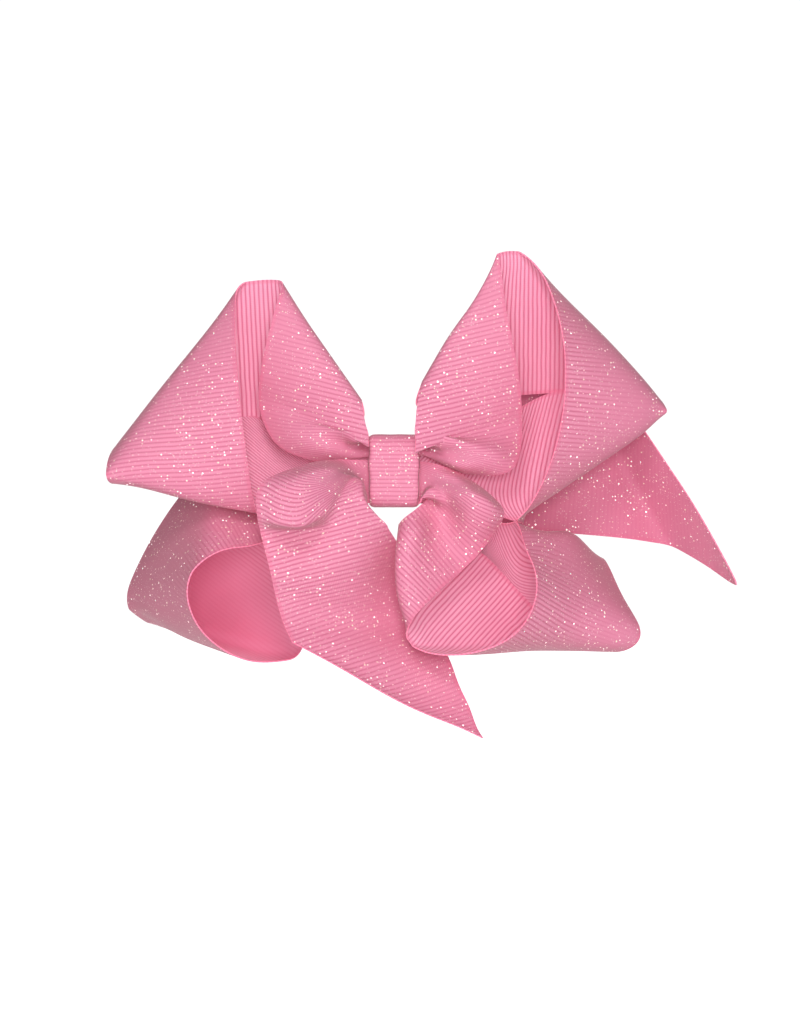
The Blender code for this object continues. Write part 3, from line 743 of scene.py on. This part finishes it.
def flakes(look, spacing, size, rare, patch):
    """Scattered specks: where they are, how strong each is and each one's own tint."""
    distance, pick, tint = look.cells(spacing)
    floor = look.math("MULTIPLY_ADD", look.noise(patch, 1.0), -0.62, rare)
    strength = look.math("MULTIPLY", look.math("MAXIMUM", look.math("SUBTRACT", pick, floor), 0.0), 3.4)
    strength = look.math("MINIMUM", strength, 1.0)
    reach = look.math("MULTIPLY_ADD", strength, 0.6 * size / spacing, 0.4 * size / spacing)
    spot = look.math("MULTIPLY", look.math("LESS_THAN", distance, reach),
                     look.math("GREATER_THAN", strength, 0.0))
    return look.math("MULTIPLY", spot, look.math("MULTIPLY_ADD", strength, 0.7, 0.3)), tint


def glitter_ribbon(name, bare):
    """Printed face: ribs under a scatter of small flakes painted bright as glints. A higher bare has
    fewer.
    """
    look = Look(name)
    ribs, strength = softened_ribs(look, rib_shape(look, RIB_PITCH, 0.9), -18.0, 3.0, 0.15)
    warp = warp_shape(look)
    colour = woven_colour(look, ribs, warp, FACE_GROOVE_SHADE, FACE_CREST_HIGHLIGHT, FACE_BORDER)
    # Painted shade: the face is painted darker, towards the groove colour, the further back in the bow
    # it lies.
    painted_rear_shade = look.math("MULTIPLY", look.ramp(look.attribute("depth"), 4.0, 22.0), 0.35)
    colour = look.mix(painted_rear_shade, colour, FACE_GROOVE_SHADE)
    # Painted shade and sheen: the face turns a dull greyish mauve where it is seen edge-on, standing in
    # for surfaces turned away from the light.
    grazing = look.ramp(look.facing(0.5), 0.22, 0.82)
    colour = look.mix(look.math("MULTIPLY", grazing, 0.72), colour, FACE_GRAZING_SHADE_AND_SHEEN)
    flake, tint = flakes(look, FLAKE_SPACING, FLAKE_SIZE, bare, 12.0)
    # Painted glints: finer glitter specks painted pale pink.
    fine_glint, _ = flakes(look, FINE_GLINT_SPACING, FINE_GLINT_SIZE, bare - 0.13, 9.0)
    # Painted glint: the flakes are painted a pale warm white.
    spark = look.mix(tint, (1.0, 0.86, 0.66), (1.0, 0.95, 0.93))
    colour = look.mix(look.math("MULTIPLY", fine_glint, 0.6), colour, (1.0, 0.80, 0.82))
    colour = look.mix(flake, colour, spark)
    weave = look.math("MULTIPLY", look.math("MULTIPLY", ribs, strength), FACE_RELIEF)
    look.bump(look.math("ADD", weave, look.math("MULTIPLY", warp, 0.015)))
    # Painted glint: each flake glows in its pale colour, though it is no lamp.
    spread = look.math("MULTIPLY", look.math("POWER", tint, 2.0), FLAKE_PAINTED_GLINT)
    glow = look.math("MULTIPLY", flake, spread)
    return look.set(Base_Color=colour, Roughness=look.math("MULTIPLY_ADD", flake, -0.35, 0.62),
                    Specular_IOR_Level=0.35, Sheen_Weight=0.25, Sheen_Roughness=0.4,
                    Emission_Color=spark, Emission_Strength=glow)


def plain_ribbon():
    """Back face: bolder ribs, no glitter."""
    look = Look("plain_grosgrain")
    ribs, strength = softened_ribs(look, rib_shape(look, RIB_PITCH, 0.75), 8.0, 24.0, 0.2)
    warp = warp_shape(look)
    colour = woven_colour(look, ribs, warp, BACK_GROOVE_SHADE, BACK_CREST_HIGHLIGHT, BACK_BORDER)
    # Painted shade: the back face is painted darker, towards the dark edge colour, the further back in
    # the bow it lies.
    painted_rear_shade = look.math("MULTIPLY", look.ramp(look.attribute("depth"), 12.0, 30.0), 0.45)
    colour = look.mix(painted_rear_shade, colour, EDGE_GROOVE_AND_REAR_SHADE)
    weave = look.math("MULTIPLY", look.math("MULTIPLY", ribs, strength), BACK_RELIEF)
    look.bump(look.math("ADD", weave, look.math("MULTIPLY", warp, 0.02)))
    # Painted light: the back face glows faintly in its own colour to lift its shaded insides.
    return look.set(Base_Color=colour, Roughness=0.7, Specular_IOR_Level=0.3,
                    Sheen_Weight=0.2, Sheen_Roughness=0.45, Emission_Color=colour,
                    Emission_Strength=0.06)


def ribbon_edge():
    """Woven selvedge and the heat-sealed cut: denser, deeper colour, with painted rib shade and
    highlight and a painted glow.
    """
    look = Look("ribbon_edge")
    ribs = rib_shape(look, RIB_PITCH, 0.8)
    # Painted rib shade and highlight on the edge: darker in the grooves, lighter on the crests.
    colour = look.mix(ribs, EDGE_GROOVE_AND_REAR_SHADE, EDGE_CREST_HIGHLIGHT)
    look.bump(look.math("MULTIPLY", ribs, 0.12))
    # Painted light: the edge glows in its crest colour so the thin rims do not fall dark in shade.
    return look.set(Base_Color=colour, Roughness=0.6, Specular_IOR_Level=0.3,
                    Emission_Color=EDGE_CREST_HIGHLIGHT, Emission_Strength=0.4)


def thread_look():
    look = Look("sewing_thread")
    node = look.tree.nodes.new("ShaderNodeTexWave")
    look.link(look.here(), node.inputs["Vector"])
    node.bands_direction = "DIAGONAL"
    node.inputs["Scale"].default_value = 900
    node.inputs["Distortion"].default_value = 1.5
    twist = node.outputs["Fac"]
    look.bump(look.math("MULTIPLY", twist, 0.05))
    return look.set(Base_Color=look.mix(twist, (0.55, 0.12, 0.22), (0.85, 0.35, 0.47)), Roughness=0.8)


def glue_look():
    look = Look("hot_glue")
    look.bump(look.math("MULTIPLY", look.noise(1.5, 3.0), 0.15))
    haze = look.noise(3.0, 3.0)
    return look.set(Base_Color=look.mix(haze, (0.80, 0.76, 0.66), (0.92, 0.90, 0.85)), Roughness=0.28,
                    Subsurface_Weight=0.3, Subsurface_Scale=0.001)


def nickel_look():
    """Bright nickel plate with rolling marks, faint scratches and duller worn patches."""
    look = Look("nickel_plate")
    node = look.tree.nodes.new("ShaderNodeTexNoise")
    stretch = look.tree.nodes.new("ShaderNodeMapping")
    look.link(look.here(), stretch.inputs["Vector"])
    stretch.inputs["Scale"].default_value = (0.06, 1, 1)
    look.link(stretch.outputs[0], node.inputs["Vector"])
    node.inputs["Scale"].default_value = 6000
    node.inputs["Detail"].default_value = 3
    lines = node.outputs["Fac"]
    wear = look.ramp(look.noise(4.0, 4.0), 0.45, 0.75)
    grain = look.math("MULTIPLY", look.noise(0.8), 0.003)
    look.bump(look.math("MULTIPLY_ADD", lines, 0.004, grain))
    rough = look.math("MULTIPLY_ADD", lines, 0.12, look.math("MULTIPLY_ADD", wear, 0.16, 0.12))
    return look.set(Base_Color=look.mix(wear, (0.60, 0.59, 0.57), (0.54, 0.53, 0.51)), Metallic=1.0,
                    Roughness=rough)


def spring_look():
    """Drawn steel wire, darker than the plate, with lengthwise drawing marks."""
    look = Look("spring_wire")
    marks = look.noise(0.25, 4.0, 0.7)
    look.bump(look.math("MULTIPLY", marks, 0.008))
    return look.set(Base_Color=look.mix(marks, (0.34, 0.34, 0.36), (0.58, 0.58, 0.60)), Metallic=1.0,
                    Roughness=look.math("MULTIPLY_ADD", marks, 0.2, 0.2))


def dress_node(name, look, bevel):
    """Keep a CAD piece, with softened edges and its own finish."""
    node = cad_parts[name]
    if bevel:
        weld = node.modifiers.new("weld", "WELD")
        weld.merge_threshold = 0.00001
        edge = node.modifiers.new("edges", "BEVEL")
        edge.width = bevel * MM
        edge.segments = 3
        edge.limit_method = "ANGLE"
        edge.angle_limit = math.radians(35)
        edge.harden_normals = False
    node.data.materials.clear()
    node.data.materials.append(look)


def glue_blob(look):
    """Set glue, squeezed out to a soft uneven pad between the ribbon and the clip."""
    low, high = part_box("glue_pad")
    centre = [(a + b) / 2 for a, b in zip(low, high)]
    half = [(b - a) / 2 for a, b in zip(low, high)]
    bm = bmesh.new()
    bmesh.ops.create_icosphere(bm, subdivisions=4, radius=1)
    for vert in bm.verts:
        x, y, z = vert.co
        angle = math.atan2(z, x)
        rim = 1 + 0.06 * math.sin(3 * angle + 0.7) + 0.04 * math.sin(7 * angle)
        square = [math.copysign(abs(v) ** 0.6, v) for v in (x, y, z)]
        vert.co = (centre[0] + square[0] * half[0] * 0.95 * rim, centre[1] + square[1] * half[1] * 0.95,
                   centre[2] + square[2] * half[2] * 0.95 * rim)
    mesh = bpy.data.meshes.new("visual_glue_pad")
    bm.to_mesh(mesh)
    bm.free()
    mesh.polygons.foreach_set("use_smooth", [True] * len(mesh.polygons))
    obj = bpy.data.objects.new("visual_glue_pad", mesh)
    bpy.context.scene.collection.objects.link(obj)
    mesh.materials.append(look)
    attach(obj, "bow")
    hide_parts("glue_pad")


def spring_points():
    """Leg on the fixed arm, coil round the pin, leg on the moving arm."""
    slant = math.radians(SPRING_SLANT)
    start = -math.pi / 2 - slant
    end = math.pi / 2 + slant + 2 * math.pi * SPRING_TURNS
    steps = 40 * SPRING_TURNS + 20
    low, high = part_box("hinge_pin")
    px, py = [((a + b) / 2 - k) / MM for a, b, k in zip(low[:2], high[:2], KNOT[:2])]
    coil = []
    for k in range(steps + 1):
        a = start + (end - start) * k / steps
        z = SPRING_HALF * (2 * k / steps - 1)
        coil.append((px + SPRING_RADIUS * math.cos(a), py + 0.15 + SPRING_RADIUS * math.sin(a), z))
    run, drop = SPRING_LEG * math.cos(slant), SPRING_LEG * math.sin(slant)
    shares = [k / 12 for k in range(1, 13)]
    first = [(coil[0][0] + run * t, coil[0][1] - drop * t, coil[0][2]) for t in reversed(shares)]
    last = [(coil[-1][0] + run * t, coil[-1][1] + drop * t, coil[-1][2]) for t in shares]
    return np.array(first + coil + last)


def torsion_spring(look):
    path = spring_points()
    tangents = np.gradient(path, axis=0)
    sides = 14
    across = unit(np.cross(tangents[0], (0.31, 0.43, 0.84)))
    verts = []
    for point, tangent in zip(path, tangents):
        t = unit(tangent)
        across = unit(across - t * (across @ t))
        up = np.cross(t, across)
        for k in range(sides):
            a = 2 * math.pi * k / sides
            verts.append(place(point + WIRE_RADIUS * (math.cos(a) * across + math.sin(a) * up)))
    rings = len(path)
    faces = []
    for i in range(rings - 1):
        for k in range(sides):
            n = (k + 1) % sides
            faces.append((i * sides + k, i * sides + n, (i + 1) * sides + n, (i + 1) * sides + k))
    faces.append(tuple(range(sides))[::-1])
    faces.append(tuple((rings - 1) * sides + k for k in range(sides)))
    obj = smoothed_mesh("visual_torsion_spring", verts, faces)
    obj.data.materials.append(look)
    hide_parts("torsion_spring")
    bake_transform(obj)


def area_light(name, at, aim, size, power, colour=(1, 1, 1)):
    light = bpy.data.lights.new(name, "AREA")
    light.size = size
    light.energy = power
    light.color = colour
    obj = bpy.data.objects.new(name, light)
    obj.location = at
    obj.rotation_euler = (Vector(aim) - Vector(at)).to_track_quat("-Z", "Y").to_euler()
    bpy.context.scene.collection.objects.link(obj)


def glow_for_camera(look):
    """Pure white where the camera sees it, but only a little light thrown on the bow."""
    seen = look.tree.nodes.new("ShaderNodeLightPath").outputs["Is Camera Ray"]
    return look.math("MULTIPLY_ADD", seen, BACKDROP_GLOW - BACKDROP_SPILL, BACKDROP_SPILL)


def studio():
    """White floor under a white sky and four soft lights."""
    low, high = CAD_BOX
    base = low[2] - FLOOR_DROP
    corners = [(x, y, base) for y in (-FLOOR_HALF, FLOOR_HALF) for x in (-FLOOR_HALF, FLOOR_HALF)]
    floor = smoothed_mesh("floor", corners, sheet_faces(2, 2))
    look = Look("floor")
    look.set(Base_Color=(0.93, 0.93, 0.93), Roughness=0.8, Emission_Color=(1.0, 1.0, 1.0),
             Emission_Strength=glow_for_camera(look))
    floor.data.materials.append(look.material)
    centre = [(a + b) / 2 for a, b in zip(low, high)]
    area_light("key", (0.08, -1.4, 0.14), centre, 0.4, KEY_POWER)
    area_light("lamp", (-0.04, -0.36, 0.22), centre, 0.12, LAMP_POWER)
    area_light("fill", (0.8, -0.9, 0.05), centre, 0.9, FILL_POWER)
    area_light("rim", (0.1, 0.7, 0.7), centre, 0.8, RIM_POWER)
    sky()
    bpy.context.scene.view_settings.view_transform = "Standard"


def sky():
    world = bpy.data.worlds.new("studio")
    world.use_nodes = True
    tree = world.node_tree
    background = tree.nodes["Background"]
    background.inputs["Color"].default_value = (1, 1, 1, 1)
    seen = tree.nodes.new("ShaderNodeLightPath").outputs["Is Camera Ray"]
    strength = tree.nodes.new("ShaderNodeMapRange")
    strength.inputs["To Min"].default_value = WORLD_LIGHT
    strength.inputs["To Max"].default_value = BACKDROP_GLOW
    tree.links.new(seen, strength.inputs["Value"])
    tree.links.new(strength.outputs[0], background.inputs["Strength"])
    bpy.context.scene.world = world


def camera():
    data = bpy.data.cameras.new("camera")
    data.lens = 150
    data.sensor_width = 36
    data.clip_end = 20
    obj = bpy.data.objects.new("camera", data)
    x, y, z = place((CAMERA_X, 0, CAMERA_Z))
    obj.location = (x, y - CAMERA_DISTANCE, z)
    obj.rotation_euler = (math.pi / 2, 0, 0)
    bpy.context.scene.collection.objects.link(obj)
    bpy.context.scene.camera = obj


def main():
    face, back, edge = glitter_ribbon("glitter_grosgrain", 0.97), plain_ribbon(), ribbon_edge()
    for name, spec in RIBBONS.items():
        looks = (back, face, edge) if spec.get("face_out") else (face, back, edge)
        ribbon(name, spec, looks)
    knot_band((back, glitter_ribbon("band_grosgrain", 0.90), edge))
    glue_blob(glue_look())
    nickel = nickel_look()
    dress_node("clip_upper_arm", nickel, 0.12)
    dress_node("clip_lower_arm", nickel, 0.12)
    dress_node("hinge_pin", nickel, 0.08)
    dress_node("cinch_thread", thread_look(), 0)
    torsion_spring(spring_look())
    studio()
    camera()


main()
